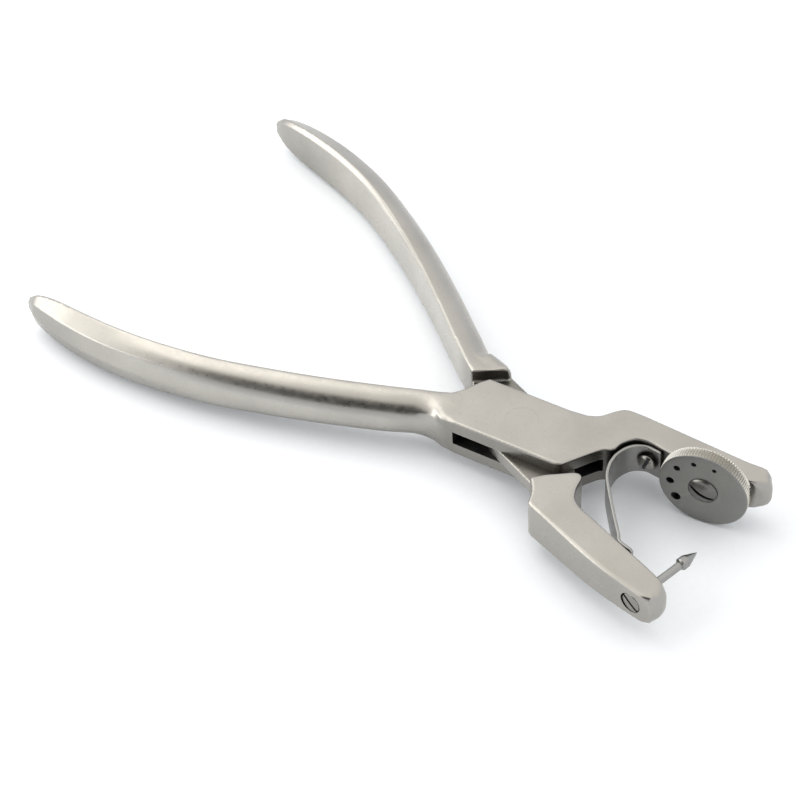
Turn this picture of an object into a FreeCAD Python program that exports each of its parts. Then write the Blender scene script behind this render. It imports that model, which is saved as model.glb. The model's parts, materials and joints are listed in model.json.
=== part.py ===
import FreeCAD, Part
import math
import os

# Plier-type rotary punch: one jaw carries a round die wheel with holes of five sizes,
# the other carries a pointed punch pin, and a leaf spring holds the jaws open.
#
# Frame: origin where the pivot axis meets the flat underside of the box joint.
# +X runs towards the jaws, +Y towards the die-wheel jaw, +Z up out of the flat side.
# The part is drawn open, as it lies on a table. Millimetres throughout.

VEC = FreeCAD.Vector
UP = VEC(0, 0, 1)
ORIGIN = VEC(0, 0, 0)

# ---- driving dimensions -------------------------------------------------------------

BOX_THICK = 10.0          # full thickness of the box joint
MID_Z = BOX_THICK / 2     # plane that both halves, the wheel and the pin are centred on
LAP_THICK = 3.5           # the plate that passes through the box
LAP_GAP = 0.05            # running gap above and below that plate
LAP_RADIUS = 7.7          # round of the plate about the pivot
TIP_THICK = 8.2           # thickness that both jaws taper to at the tip
TAPER_START = 20.0        # where that taper begins, along X
EDGE_BREAK = 0.35         # chamfer along the edges of the flat faces

PIVOT_RADIUS = 2.6
PIVOT_CLEARANCE = 0.03    # running clearance in the lap plate
PIVOT_HEAD_RADIUS = 3.6   # riveted heads, countersunk into both cheeks
PIVOT_HEAD_DEPTH = 1.2

WHEEL_ANGLE = 16.5        # the wheel's face turns this far from the X axis
WHEEL_CENTRE = VEC(39.5, 12.9, MID_Z)   # centre of the wheel's front face
WHEEL_RADIUS = 10.1
WHEEL_THICK = 2.9
WHEEL_BORE = 2.05
WHEEL_SEAT_GAP = 0.06     # between the wheel's back and the jaw
KNURL_COUNT = 96
KNURL_DEPTH = 0.30
STATION_COUNT = 10
STATION_RADIUS = 7.46     # circle that the die holes and the punch pin share
FIRST_HOLE_ANGLE = 72.8   # from the jaw-tip direction, counter-clockwise seen from in front
HOLE_DIAMETERS = (0.9, 1.1, 1.4, 1.7, 2.1)
COUNTERBORE_DEPTH = 1.4   # the die holes open out behind so that the punchings fall clear
DETENT_TRACK_RADIUS = 5.0
BALL_RADIUS = 1.0
BALL_PROUD = 0.45         # how far the detent ball stands out of the jaw
DETENT_DEPTH = 4.2

SCREW_HEAD_RADIUS = 3.35
SCREW_DOME_HEIGHT = 1.15
SCREW_SHOULDER_RADIUS = 2.0
SCREW_THREAD_RADIUS = 1.5
SCREW_THREAD_DEPTH = 4.6
THREAD_FIT = 0.02         # every thread is drawn as a plain rod this much under its hole

PIN_ANGLE = 84.0          # direction of the punch pin in plan, with the jaws open
PIN_POINT = VEC(48.84, -3.97, MID_Z)    # a point on the pin's axis
PIN_RADIUS = 0.9
PIN_HEAD_RADIUS = 1.4
PIN_TIP = 2.73            # distance from PIN_POINT to the tip
PIN_CONE = 3.4
PIN_COLLAR = 1.6
SET_SCREW_RADIUS = 2.5
SET_SCREW_LENGTH = 2.2
SET_SCREW_CLEARANCE = 0.15

SPRING_THICK = 0.7
SPRING_WIDTH = 8.0
SPRING_HINGE = VEC(21.2, 6.0, MID_Z)    # point that the spring's arm flexes about
SPRING_SCREW_RADIUS = 1.1
SPRING_SCREW_DEPTH = 3.2
SPRING_SCREW_HEAD = 2.15
SPRING_SCREW_SEAT = VEC(25.2, 12.97, MID_Z)    # where its axis meets the jaw
SPRING_SCREW_ANGLE = -79.0

# The handles' D section along X: x, height, depth square to the flat inner face, and
# squareness (2 is a half ellipse, more is boxier). The two Y columns are the flat inner
# faces of the punch half's handle and of the box half's, which stands a little wider.
HANDLE_STATIONS = (
    (-14.5, 10.0, 7.3, 7.0, 2.6, -1.9),
    (-20.5, 10.3, 6.9, 2.6, 5.1, -5.9),
    (-30.0, 10.8, 7.0, 2.3, 10.2, -12.0),
    (-42.0, 11.3, 7.0, 2.2, 16.9, -19.1),
    (-54.0, 11.8, 6.9, 2.2, 23.1, -25.5),
    (-65.0, 12.3, 6.7, 2.2, 28.1, -30.8),
    (-77.0, 12.8, 6.5, 2.2, 32.7, -35.2),
    (-88.0, 12.9, 6.3, 2.2, 35.3, -38.1),
    (-97.5, 12.4, 5.9, 2.2, 36.6, -39.6),
    (-105.0, 11.2, 5.1, 2.2, 37.3, -40.3),
    (-110.5, 8.6, 3.7, 2.2, 38.0, -41.0),
    (-113.4, 4.2, 1.8, 2.2, 38.6, -41.7),
)
REAR, FRONT = 4, 5        # which column each handle reads


# ---- helpers ------------------------------------------------------------------------

def at(x, y, z=0.0):
    return VEC(x, y, z)


def spline(points, start=None, end=None):
    """A smooth edge through points, with optional end directions."""
    curve = Part.BSplineCurve()
    if start is None:
        curve.interpolate(points)
    else:
        curve.interpolate(Points=points, InitialTangent=start, FinalTangent=end)
    return curve.toShape()


def outline(*stretches):
    """A closed wire from stretches of (x, y) points.

    A stretch named "line" is a chain of straight edges, one named "curve" is a smooth
    curve. Each stretch starts where the one before it ended.
    """
    first = at(*stretches[0][1][0])
    last = first
    edges = []
    for kind, coordinates in stretches:
        points = [at(*pair) for pair in coordinates]
        if (points[0] - last).Length > 1e-6:
            points.insert(0, last)
        if kind == "line":
            for a, b in zip(points, points[1:]):
                edges.append(Part.LineSegment(a, b).toShape())
        else:
            edges.append(spline(points))
        last = points[-1]
    if (last - first).Length > 1e-6:
        edges.append(Part.LineSegment(last, first).toShape())
    return Part.Wire(edges)


def slab(wire, bottom, top):
    """The plan outline extruded from one height to another."""
    face = Part.Face(wire)
    face.translate(at(0, 0, bottom))
    return face.extrude(at(0, 0, top - bottom))


def break_edges(solid, size):
    """Chamfer the edges that lie wholly in the top and bottom faces."""
    flat = []
    for edge in solid.Edges:
        box = edge.BoundBox
        if box.ZLength < 1e-6 and (abs(box.ZMax - BOX_THICK) < 1e-6 or abs(box.ZMin) < 1e-6):
            flat.append(edge)
    return solid.makeChamfer(size, flat)


def turned(profile, base, axis):
    """A solid of revolution from (radius, distance along the axis) points."""
    points = [at(r, 0, z) for r, z in profile]
    points.append(points[0])
    solid = Part.Face(Part.makePolygon(points)).revolve(ORIGIN, UP, 360)
    solid.Placement = FreeCAD.Placement(base, FreeCAD.Rotation(UP, axis))
    return solid


def rod(radius, base, axis, length):
    return Part.makeCylinder(radius, length, base, axis)


def blind_hole(radius, mouth, axis, depth):
    """The cutter for a hole sunk to depth from a mouth whose outward direction is axis."""
    return rod(radius, mouth + axis, -axis, depth + 1)


def plan_direction(angle):
    return at(math.cos(math.radians(angle)), math.sin(math.radians(angle)))


def screw_slot(centre, axis, along, width, depth, length):
    """The cutter for a driver slot whose floor is depth below centre."""
    across = axis.cross(along)
    corner = centre - along * (length / 2) - across * (width / 2) - axis * depth
    ends = [corner, corner + along * length, corner + along * length + across * width]
    ends.append(corner + across * width)
    ends.append(corner)
    return Part.Face(Part.makePolygon(ends)).extrude(axis * (depth + 2.0))


def taper_cutters():
    """Wedges that thin both jaws from the box thickness to the tip thickness."""
    reach = 60.0
    run = 52.0 - TAPER_START
    fall = (BOX_THICK - TIP_THICK) / 2 * (reach - TAPER_START) / run
    cutters = []
    for level, way in ((BOX_THICK, 1), (0.0, -1)):
        points = [
            at(TAPER_START, -60, level),
            at(reach, -60, level - way * fall),
            at(reach, -60, level + way * 5),
            at(TAPER_START, -60, level + way * 5),
        ]
        points.append(points[0])
        cutters.append(Part.Face(Part.makePolygon(points)).extrude(at(0, 120, 0)))
    return cutters


# ---- handles ------------------------------------------------------------------------

def handle_section(x, y, tangent, height, depth, squareness):
    """A D: flat inner face, rounded outer face, square to the handle's run."""
    outward = at(-tangent.y, tangent.x)
    if outward.y * y < 0:
        outward = -outward
    base = at(x, y, MID_Z)
    steps = 12
    points = []
    for i in range(steps + 1):
        angle = math.pi * (i / steps - 0.5)
        out = depth * abs(math.cos(angle)) ** (2 / squareness)
        rise = height / 2 * math.copysign(abs(math.sin(angle)) ** (2 / squareness), angle)
        points.append(base + outward * out + UP * rise)
    points[0] = base - UP * (height / 2)
    points[-1] = base + UP * (height / 2)
    curve = spline(points)
    return Part.Wire([curve, Part.LineSegment(points[-1], points[0]).toShape()])


def handle(column):
    """One handle, lofted through its stations."""
    line = Part.BSplineCurve()
    line.interpolate([at(station[0], station[column]) for station in HANDLE_STATIONS])
    sections = []
    for station in HANDLE_STATIONS:
        x, height, depth, squareness = station[:4]
        y = station[column]
        tangent = line.tangent(line.parameter(at(x, y)))[0]
        sections.append(handle_section(x, y, tangent, height, depth, squareness))
    return Part.makeLoft(sections, True, False)


# ---- wheel axis and everything on it ------------------------------------------------

WHEEL_ALONG = plan_direction(WHEEL_ANGLE)             # in the wheel's face, to the jaw tip
WHEEL_AXIS = plan_direction(WHEEL_ANGLE - 90)         # out of the wheel's front face
WHEEL_BACK = WHEEL_CENTRE - WHEEL_AXIS * WHEEL_THICK
SEAT_POINT = WHEEL_BACK - WHEEL_AXIS * WHEEL_SEAT_GAP
TRACK_DEPTH = BALL_PROUD - WHEEL_SEAT_GAP + 0.08
BALL_SEAT = SEAT_POINT - WHEEL_ALONG * DETENT_TRACK_RADIUS


def wheel_point(angle, radius, level):
    """A point on the wheel: angle from the jaw-tip direction, level above its back."""
    a = math.radians(angle)
    return WHEEL_BACK + WHEEL_AXIS * level + (WHEEL_ALONG * math.cos(a) + UP * math.sin(a)) * radius


def seat_y(x):
    """The wheel seat's Y at a given X."""
    return SEAT_POINT.y + (x - SEAT_POINT.x) * WHEEL_ALONG.y / WHEEL_ALONG.x


# ---- box half: rear handle, box with its slot, wheel jaw ----------------------------

def box_plate():
    """The box and the wheel jaw as one plate, before slotting."""
    jaw_end = at(50.6, 19.0)
    wire = outline(
        ("line", [(-14.2, -11.0), (12.6, -5.25)]),
        ("curve", [(13.9, -4.9), (14.8, -4.1)]),
        ("line", [(17.3, 2.0)]),
        ("curve", [(18.4, 4.3), (19.8, 5.6), (20.5, 6.9)]),
        ("curve", [(20.7, 9.2), (22.0, 11.6), (24.7, 12.9), (28.0, 13.2), (30.6, seat_y(30.6))]),
        ("line", [(jaw_end.x, seat_y(jaw_end.x))]),
        ("curve", [(51.2, 21.6), (49.7, 23.4)]),
        ("curve", [(47.8, 23.5), (44.0, 22.5)]),
        ("line", [(19.0, 18.2)]),
        ("curve", [(15.3, 17.2), (13.5, 15.0), (12.0, 12.1), (9.9, 10.4)]),
        ("line", [(6.0, 9.1), (-13.4, 4.9), (-14.5, 2.7)]),
        ("curve", [(-15.6, -0.8), (-17.4, -4.0), (-20.5, -6.1)]),
        ("line", [(-18.8, -8.6)]),
        ("curve", [(-16.6, -9.7), (-14.2, -11.0)]),
    )
    return slab(wire, 0, BOX_THICK)


def box_slot():
    """The way through the box for the lap plate, bounded by a rear and a front wall."""
    low = MID_Z - LAP_THICK / 2 - LAP_GAP
    high = MID_Z + LAP_THICK / 2 + LAP_GAP
    wire = outline((
        "line",
        [
            (-10.7, -13.0),
            (-11.6, -5.7),
            (-18.5, -3.9),
            (-18.5, 12.0),
            (9.3, 12.0),
            (10.6, 6.5),
            (19.3, 4.7),
            (22.0, 3.0),
            (17.0, -13.0),
        ],
    ))
    return slab(wire, low, high)


def box_half():
    plate = break_edges(box_plate(), EDGE_BREAK)
    body = plate.fuse(handle(FRONT)).removeSplitter()
    for cutter in taper_cutters() + [box_slot(), pivot_seat()]:
        body = body.cut(cutter)
    for axis_hole in (wheel_screw_hole(), detent_hole(), spring_screw_hole()):
        body = body.cut(axis_hole)
    return body.removeSplitter()


def pivot_seat():
    """The pivot's hole through both cheeks, countersunk for the riveted heads."""
    top = BOX_THICK
    return turned(
        [
            (0, -1),
            (PIVOT_HEAD_RADIUS, -1),
            (PIVOT_HEAD_RADIUS, 0),
            (PIVOT_RADIUS, PIVOT_HEAD_DEPTH),
            (PIVOT_RADIUS, top - PIVOT_HEAD_DEPTH),
            (PIVOT_HEAD_RADIUS, top),
            (PIVOT_HEAD_RADIUS, top + 1),
            (0, top + 1),
        ],
        ORIGIN,
        UP,
    )


def wheel_screw_hole():
    return blind_hole(SCREW_THREAD_RADIUS, SEAT_POINT, WHEEL_AXIS, SCREW_THREAD_DEPTH + 0.3)


def detent_hole():
    return blind_hole(BALL_RADIUS + THREAD_FIT, BALL_SEAT, WHEEL_AXIS, DETENT_DEPTH)


def spring_screw_hole():
    depth = SPRING_SCREW_DEPTH + 0.3
    return blind_hole(SPRING_SCREW_RADIUS, SPRING_SCREW_SEAT, SPRING_SCREW_AXIS, depth)


# ---- punch half: front handle, lap plate, punch jaw ---------------------------------

def lap_plate():
    """The plate inside the box: a disc about the pivot with an arm to each side."""
    low = MID_Z - LAP_THICK / 2
    high = MID_Z + LAP_THICK / 2
    disc = Part.makeCylinder(LAP_RADIUS, LAP_THICK, at(0, 0, low))
    jaw_arm = outline((
        "line",
        [(-1.67, -7.5), (12.6, -10.7), (18.5, -8.0), (20.0, -4.6), (18.9, -3.2), (3.0, 7.0)],
    ))
    handle_arm = outline((
        "line",
        [(1.67, 7.5), (-11.8, 10.4), (-18.0, 8.0), (-18.6, 4.6), (-17.2, 3.4), (-3.0, -7.0)],
    ))
    return disc.fuse([slab(jaw_arm, low, high), slab(handle_arm, low, high)])


def punch_jaw():
    wire = outline(
        ("line", [(12.1, -11.3), (14.0, -8.6), (18.2, -4.2)]),
        ("curve", [(19.4, -3.7), (20.5, -4.3), (21.1, -6.2)]),
        ("curve", [(21.8, -7.9), (23.2, -9.7), (25.6, -10.8), (28.6, -11.2)]),
        ("curve", [(37.0, -12.5), (44.0, -13.6), (51.0, -14.8)]),
        ("curve", [(52.4, -15.5), (53.0, -17.9), (52.2, -20.8)]),
        ("curve", [(44.1, -20.7), (38.0, -20.4), (32.0, -19.7), (24.0, -18.4), (17.2, -17.3)]),
        ("line", [(16.3, -16.9)]),
        ("curve", [(14.6, -13.8), (12.1, -11.3)]),
    )
    return slab(wire, 0, BOX_THICK)


def handle_root():
    """The full-thickness block between the lap plate and the +Y handle."""
    wire = outline(
        ("line", [(-17.9, 3.9), (-12.9, 8.9)]),
        ("curve", [(-12.0, 9.7), (-12.3, 10.7), (-14.0, 11.4)]),
        ("line", [(-19.0, 12.0), (-22.0, 9.0), (-20.5, 5.1)]),
    )
    return slab(wire, 0, BOX_THICK)


def trimmed_handle():
    """The handle without the stretch that would reach into the box."""
    wire = outline(("line", [(-30, 0), (-17.9, 3.9), (-11.0, 10.8), (0, 30), (40, 0), (0, -40)]))
    return handle(REAR).cut(slab(wire, -10, 20))


def punch_half():
    jaw = break_edges(punch_jaw(), EDGE_BREAK)
    root = break_edges(handle_root(), EDGE_BREAK)
    body = lap_plate().fuse([jaw, root, trimmed_handle()])
    for cutter in taper_cutters():
        body = body.cut(cutter)
    bore = rod(PIVOT_RADIUS + PIVOT_CLEARANCE, at(0, 0, -1), UP, BOX_THICK + 2)
    body = body.cut(bore).cut(pin_hole())
    return body.removeSplitter()


# ---- pivot, wheel, screws, detent ---------------------------------------------------

def pivot_pin():
    """A rivet, its two countersunk heads just below the cheeks' surfaces."""
    sink = 0.05
    top = BOX_THICK
    slope = (PIVOT_HEAD_RADIUS - PIVOT_RADIUS) / PIVOT_HEAD_DEPTH
    head = PIVOT_HEAD_RADIUS - sink * slope
    return turned(
        [
            (0, sink),
            (head, sink),
            (PIVOT_RADIUS, PIVOT_HEAD_DEPTH),
            (PIVOT_RADIUS, top - PIVOT_HEAD_DEPTH),
            (head, top - sink),
            (0, top - sink),
        ],
        ORIGIN,
        UP,
    )


def knurled_disc():
    """The wheel's blank with fine straight knurling round its rim."""
    points = []
    for i in range(KNURL_COUNT):
        for half, radius in ((0.0, WHEEL_RADIUS), (0.5, WHEEL_RADIUS - KNURL_DEPTH)):
            angle = 2 * math.pi * (i + half) / KNURL_COUNT
            points.append(at(radius * math.cos(angle), radius * math.sin(angle)))
    points.append(points[0])
    blank = Part.Face(Part.makePolygon(points)).extrude(at(0, 0, WHEEL_THICK))
    bevel = 0.35
    barrel = turned(
        [
            (0, 0),
            (WHEEL_RADIUS - bevel, 0),
            (WHEEL_RADIUS, bevel),
            (WHEEL_RADIUS, WHEEL_THICK - bevel),
            (WHEEL_RADIUS - bevel, WHEEL_THICK),
            (0, WHEEL_THICK),
        ],
        ORIGIN,
        UP,
    )
    disc = blank.common(barrel)
    disc.Placement = FreeCAD.Placement(WHEEL_BACK, FreeCAD.Rotation(UP, WHEEL_AXIS))
    return disc


def die_wheel():
    wheel = knurled_disc()
    wheel = wheel.cut(rod(WHEEL_BORE, WHEEL_BACK - WHEEL_AXIS, WHEEL_AXIS, WHEEL_THICK + 2))
    half_track = BALL_RADIUS * 0.95
    track = turned(
        [
            (DETENT_TRACK_RADIUS - half_track, -1),
            (DETENT_TRACK_RADIUS + half_track, -1),
            (DETENT_TRACK_RADIUS + half_track, TRACK_DEPTH),
            (DETENT_TRACK_RADIUS - half_track, TRACK_DEPTH),
        ],
        WHEEL_BACK,
        WHEEL_AXIS,
    )
    wheel = wheel.cut(track)
    pitch = 360 / STATION_COUNT
    for i in range(STATION_COUNT):
        dimple = rod(0.5, wheel_point(i * pitch, DETENT_TRACK_RADIUS, 0), WHEEL_AXIS, TRACK_DEPTH + 0.3)
        wheel = wheel.cut(dimple)
    for i, diameter in enumerate(HOLE_DIAMETERS):
        angle = FIRST_HOLE_ANGLE + i * pitch
        hole = rod(diameter / 2, wheel_point(angle, STATION_RADIUS, -1), WHEEL_AXIS, WHEEL_THICK + 2)
        relief = rod(diameter / 2 + 0.25, wheel_point(angle, STATION_RADIUS, -1), WHEEL_AXIS,
                     1 + COUNTERBORE_DEPTH)
        wheel = wheel.cut(hole).cut(relief)
    return wheel


def dome_profile(radius, height, base, steps=5):
    """Points over a domed screw head, from its edge to the axis."""
    ball = (radius * radius + height * height) / (2 * height)
    points = []
    for i in range(steps + 1):
        r = radius * (1 - i / steps)
        points.append((r, base + height - ball + math.sqrt(ball * ball - r * r)))
    return points


def wheel_screw():
    """A shoulder screw: the wheel turns on its shoulder, under its domed head."""
    shoulder = WHEEL_THICK + WHEEL_SEAT_GAP + 0.05
    profile = [
        (0, -SCREW_THREAD_DEPTH),
        (SCREW_THREAD_RADIUS - THREAD_FIT, -SCREW_THREAD_DEPTH),
        (SCREW_THREAD_RADIUS - THREAD_FIT, 0),
        (SCREW_SHOULDER_RADIUS, 0),
        (SCREW_SHOULDER_RADIUS, shoulder),
        (SCREW_HEAD_RADIUS, shoulder),
    ]
    profile += dome_profile(SCREW_HEAD_RADIUS, SCREW_DOME_HEIGHT, shoulder + 0.2)
    screw = turned(profile, SEAT_POINT, WHEEL_AXIS)
    crown = SEAT_POINT + WHEEL_AXIS * (shoulder + 0.2 + SCREW_DOME_HEIGHT)
    tilt = math.radians(-24)
    along = WHEEL_ALONG * math.cos(tilt) + UP * math.sin(tilt)
    return screw.cut(screw_slot(crown, WHEEL_AXIS, along, 0.75, 0.95, 8.0))


def detent_ball():
    return Part.makeSphere(BALL_RADIUS, BALL_SEAT + WHEEL_AXIS * (BALL_PROUD - BALL_RADIUS))


def detent_spring():
    """A coil spring pressing the ball towards the wheel."""
    wire_radius = 0.2
    coil_radius = BALL_RADIUS - wire_radius - 0.05
    length = 2.45
    helix = Part.makeHelix(0.55, length, coil_radius)
    ring = Part.Wire(Part.makeCircle(wire_radius, at(coil_radius, 0, 0), at(0, 1, 0)))
    coil = Part.Wire(helix).makePipeShell([ring], True, True)
    floor = BALL_SEAT - WHEEL_AXIS * (DETENT_DEPTH - wire_radius - 0.01)
    coil.Placement = FreeCAD.Placement(floor, FreeCAD.Rotation(UP, WHEEL_AXIS))
    return coil


# ---- leaf spring and its screw ------------------------------------------------------

SPRING_SCREW_AXIS = plan_direction(SPRING_SCREW_ANGLE)

# The strip's middle in plan: the tab from beside the wheel round to the flex point, then
# the arm from there to the heel that rubs on the punch jaw and the foot beyond it.
TAB_LINE = ((28.4, 12.72), (26.6, 12.62), (24.6, 12.3), (22.7, 10.9), (21.6, 9.0), (21.2, 6.6))
ARM_LINE = ((21.35, 5.45), (21.9, 3.2), (23.5, 0.4), (26.6, -2.7), (31.4, -7.0), (35.6, -10.6))
HEEL = ((36.45, -11.55), (37.6, -12.05))
FOOT_END = (40.6, -12.25)


def strip(points):
    """Flat spring strip along a plan line: constant thickness and width."""
    line = Part.BSplineCurve()
    line.interpolate([at(*pair) for pair in points])
    sides = [[], []]
    steps = 24
    for i in range(steps + 1):
        where = line.FirstParameter + (line.LastParameter - line.FirstParameter) * i / steps
        centre = line.value(where)
        tangent = line.tangent(where)[0]
        across = at(-tangent.y, tangent.x) * (SPRING_THICK / 2)
        sides[0].append(centre + across)
        sides[1].insert(0, centre - across)
    edges = [spline(sides[0])]
    edges.append(Part.LineSegment(sides[0][-1], sides[1][0]).toShape())
    edges.append(spline(sides[1]))
    edges.append(Part.LineSegment(sides[1][-1], sides[0][0]).toShape())
    return slab(Part.Wire(edges), MID_Z - SPRING_WIDTH / 2, MID_Z + SPRING_WIDTH / 2)


def spring_tab():
    below = SPRING_SCREW_SEAT - SPRING_SCREW_AXIS
    hole = rod(SPRING_SCREW_RADIUS + 0.1, below, SPRING_SCREW_AXIS, 4)
    return strip(TAB_LINE).cut(hole)


def spring_arm():
    return strip(ARM_LINE + HEEL + (FOOT_END,))


def spring_screw():
    """A small round-headed screw through the tab."""
    rim = 0.4
    dome = 0.85
    seat = 1.55
    profile = [
        (0, -SPRING_SCREW_DEPTH),
        (SPRING_SCREW_RADIUS - THREAD_FIT, -SPRING_SCREW_DEPTH),
        (SPRING_SCREW_RADIUS - THREAD_FIT, seat),
        (SPRING_SCREW_HEAD, seat),
        (SPRING_SCREW_HEAD, seat + rim),
    ]
    profile += dome_profile(SPRING_SCREW_HEAD, dome, seat + rim)[1:]
    screw = turned(profile, SPRING_SCREW_SEAT, SPRING_SCREW_AXIS)
    crown = SPRING_SCREW_SEAT + SPRING_SCREW_AXIS * (seat + rim + dome)
    tilt = math.radians(17.5)
    along = UP * math.cos(tilt) + plan_direction(SPRING_SCREW_ANGLE + 90) * math.sin(tilt)
    return screw.cut(screw_slot(crown, SPRING_SCREW_AXIS, along, 0.6, 0.8, 6.0))


# ---- punch pin and the set screw behind it ------------------------------------------

PIN_AXIS = plan_direction(PIN_ANGLE)
PIN_BASE = PIN_POINT - PIN_AXIS * 14.6
JAW_BACK = PIN_POINT - PIN_AXIS * 16.9


def pin_hole():
    """The pin's bore from the inner face, opened out behind for the set screw."""
    length = (PIN_POINT - JAW_BACK).Length
    bore = rod(PIN_RADIUS, JAW_BACK, PIN_AXIS, length)
    wide = rod(SET_SCREW_RADIUS, JAW_BACK - PIN_AXIS * 3, PIN_AXIS, 3 + SET_SCREW_LENGTH + 0.1)
    return bore.fuse(wide)


def punch_pin():
    length = (PIN_POINT - PIN_BASE).Length + PIN_TIP
    neck = length - PIN_CONE - PIN_COLLAR
    fit = PIN_RADIUS - THREAD_FIT
    return turned(
        [
            (0, 0),
            (fit, 0),
            (fit, neck - 0.3),
            (PIN_HEAD_RADIUS - 0.1, neck),
            (PIN_HEAD_RADIUS, neck + 0.2),
            (PIN_HEAD_RADIUS, neck + PIN_COLLAR),
            (0.06, length),
            (0, length),
        ],
        PIN_BASE,
        PIN_AXIS,
    )


def punch_set_screw():
    radius = SET_SCREW_RADIUS - SET_SCREW_CLEARANCE
    screw = turned(
        [
            (0, 0),
            (radius - 0.2, 0),
            (radius, 0.2),
            (radius, SET_SCREW_LENGTH),
            (0, SET_SCREW_LENGTH),
        ],
        JAW_BACK,
        PIN_AXIS,
    )
    tilt = math.radians(30)
    flat = plan_direction(PIN_ANGLE - 90)
    along = flat * math.cos(tilt) - UP * math.sin(tilt)
    return screw.cut(screw_slot(JAW_BACK, -PIN_AXIS, along, 0.65, 0.8, 6.0))


# ---- write --------------------------------------------------------------------------

NODES = {
    "box_half": box_half,
    "punch_half": punch_half,
    "pivot_pin": pivot_pin,
    "die_wheel": die_wheel,
    "wheel_screw": wheel_screw,
    "detent_ball": detent_ball,
    "detent_spring": detent_spring,
    "spring_tab": spring_tab,
    "spring_arm": spring_arm,
    "spring_screw": spring_screw,
    "punch_pin": punch_pin,
    "punch_set_screw": punch_set_screw,
}

os.makedirs("parts", exist_ok=True)
for name, make in NODES.items():
    shape = make()
    shape.exportStep("parts/" + name + ".step")
    box = shape.BoundBox
    print(name, shape.isValid(), len(shape.Solids), round(shape.Volume, 2),
          [round(v, 1) for v in (box.XMin, box.YMin, box.ZMin, box.XMax, box.YMax, box.ZMax)])
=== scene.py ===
import json
import math

import bpy
from mathutils import Matrix, Vector


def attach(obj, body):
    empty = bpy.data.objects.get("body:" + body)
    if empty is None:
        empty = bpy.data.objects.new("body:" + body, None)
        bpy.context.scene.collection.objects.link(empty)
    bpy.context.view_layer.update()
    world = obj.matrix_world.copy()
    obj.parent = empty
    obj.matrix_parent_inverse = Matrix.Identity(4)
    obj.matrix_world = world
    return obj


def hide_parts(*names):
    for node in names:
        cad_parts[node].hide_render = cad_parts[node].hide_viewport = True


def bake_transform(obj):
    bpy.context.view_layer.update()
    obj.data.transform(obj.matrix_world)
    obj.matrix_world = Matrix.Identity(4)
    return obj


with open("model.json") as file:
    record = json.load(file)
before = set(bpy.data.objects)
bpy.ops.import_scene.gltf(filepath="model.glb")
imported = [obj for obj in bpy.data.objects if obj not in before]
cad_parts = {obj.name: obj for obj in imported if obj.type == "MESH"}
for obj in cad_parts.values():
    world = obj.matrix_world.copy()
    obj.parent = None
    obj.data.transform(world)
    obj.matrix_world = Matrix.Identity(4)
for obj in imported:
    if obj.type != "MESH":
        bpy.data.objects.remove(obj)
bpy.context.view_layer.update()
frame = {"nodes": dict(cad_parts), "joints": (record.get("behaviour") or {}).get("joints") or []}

# Shapes are drawn in millimetres in the part's own frame: +X to the jaws, +Y to the
# die wheel's side, +Z up. Each finished mesh is scaled to metres.
MM = 0.001
UP = Vector((0, 0, 1))

JOINTS = {joint["name"]: joint for joint in frame["joints"]}
WHEEL_CENTRE = Vector(JOINTS["wheel_turn"]["pos_m"]) / MM     # middle of the front face
WHEEL_AXIS = Vector(JOINTS["wheel_turn"]["axis"]).normalized()
WHEEL_ALONG = UP.cross(WHEEL_AXIS)                            # towards the jaw's tip
MID = WHEEL_CENTRE.z                                          # mid height of the tool
THICK = 2 * MID                                               # box joint, full thickness

VOXEL = 0.23              # size of the cells that the forgings are remeshed with
SHARP = math.radians(42)  # edges that turn more than this are shaded sharp
FLAT_COSINE = 0.9999      # faces this close to a direction count as looking along it
MATERIAL_SLOTS = 3        # empty ones that keep the faces' material numbers valid


# ---- mesh helpers -------------------------------------------------------------------

def new_object(name, vertices, faces):
    mesh = bpy.data.meshes.new(name)
    mesh.from_pydata([tuple(v) for v in vertices], [], faces)
    for _ in range(MATERIAL_SLOTS):
        mesh.materials.append(None)
    obj = bpy.data.objects.new(name, mesh)
    bpy.context.scene.collection.objects.link(obj)
    return obj


def joined(name, objects):
    """One object that holds the meshes of all of these."""
    vertices = []
    faces = []
    for obj in objects:
        base = len(vertices)
        vertices += [v.co.copy() for v in obj.data.vertices]
        faces += [[base + i for i in polygon.vertices] for polygon in obj.data.polygons]
        discard(obj)
    return new_object(name, vertices, faces)


def discard(obj):
    mesh = obj.data
    bpy.data.objects.remove(obj)
    bpy.data.meshes.remove(mesh)


def apply_modifier(obj, kind, **settings):
    modifier = obj.modifiers.new(kind, kind)
    for name, value in settings.items():
        setattr(modifier, name, value)
    evaluated = obj.evaluated_get(bpy.context.evaluated_depsgraph_get())
    mesh = bpy.data.meshes.new_from_object(evaluated)
    old = obj.data
    obj.modifiers.clear()
    obj.data = mesh
    bpy.data.meshes.remove(old)


def cut(obj, cutters):
    """Cut these away. The faces they leave take the object's second material."""
    tool = joined("cutters", cutters)
    # Cut faces take the near-black steel: partly dark oxide, partly painted shade.
    tool.data.polygons.foreach_set("material_index", [1] * len(tool.data.polygons))
    apply_modifier(obj, "BOOLEAN", operation="DIFFERENCE", solver="EXACT", object=tool)
    discard(tool)


def soften(obj, weight, repeats, factor=0.5):
    """Smooth the mesh where weight(point) is above 0."""
    group = obj.vertex_groups.new(name="soft")
    for vertex in obj.data.vertices:
        amount = weight(vertex.co)
        if amount > 0:
            group.add([vertex.index], amount, "REPLACE")
    apply_modifier(obj, "SMOOTH", factor=factor, iterations=repeats, vertex_group="soft")
    obj.vertex_groups.clear()


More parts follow.
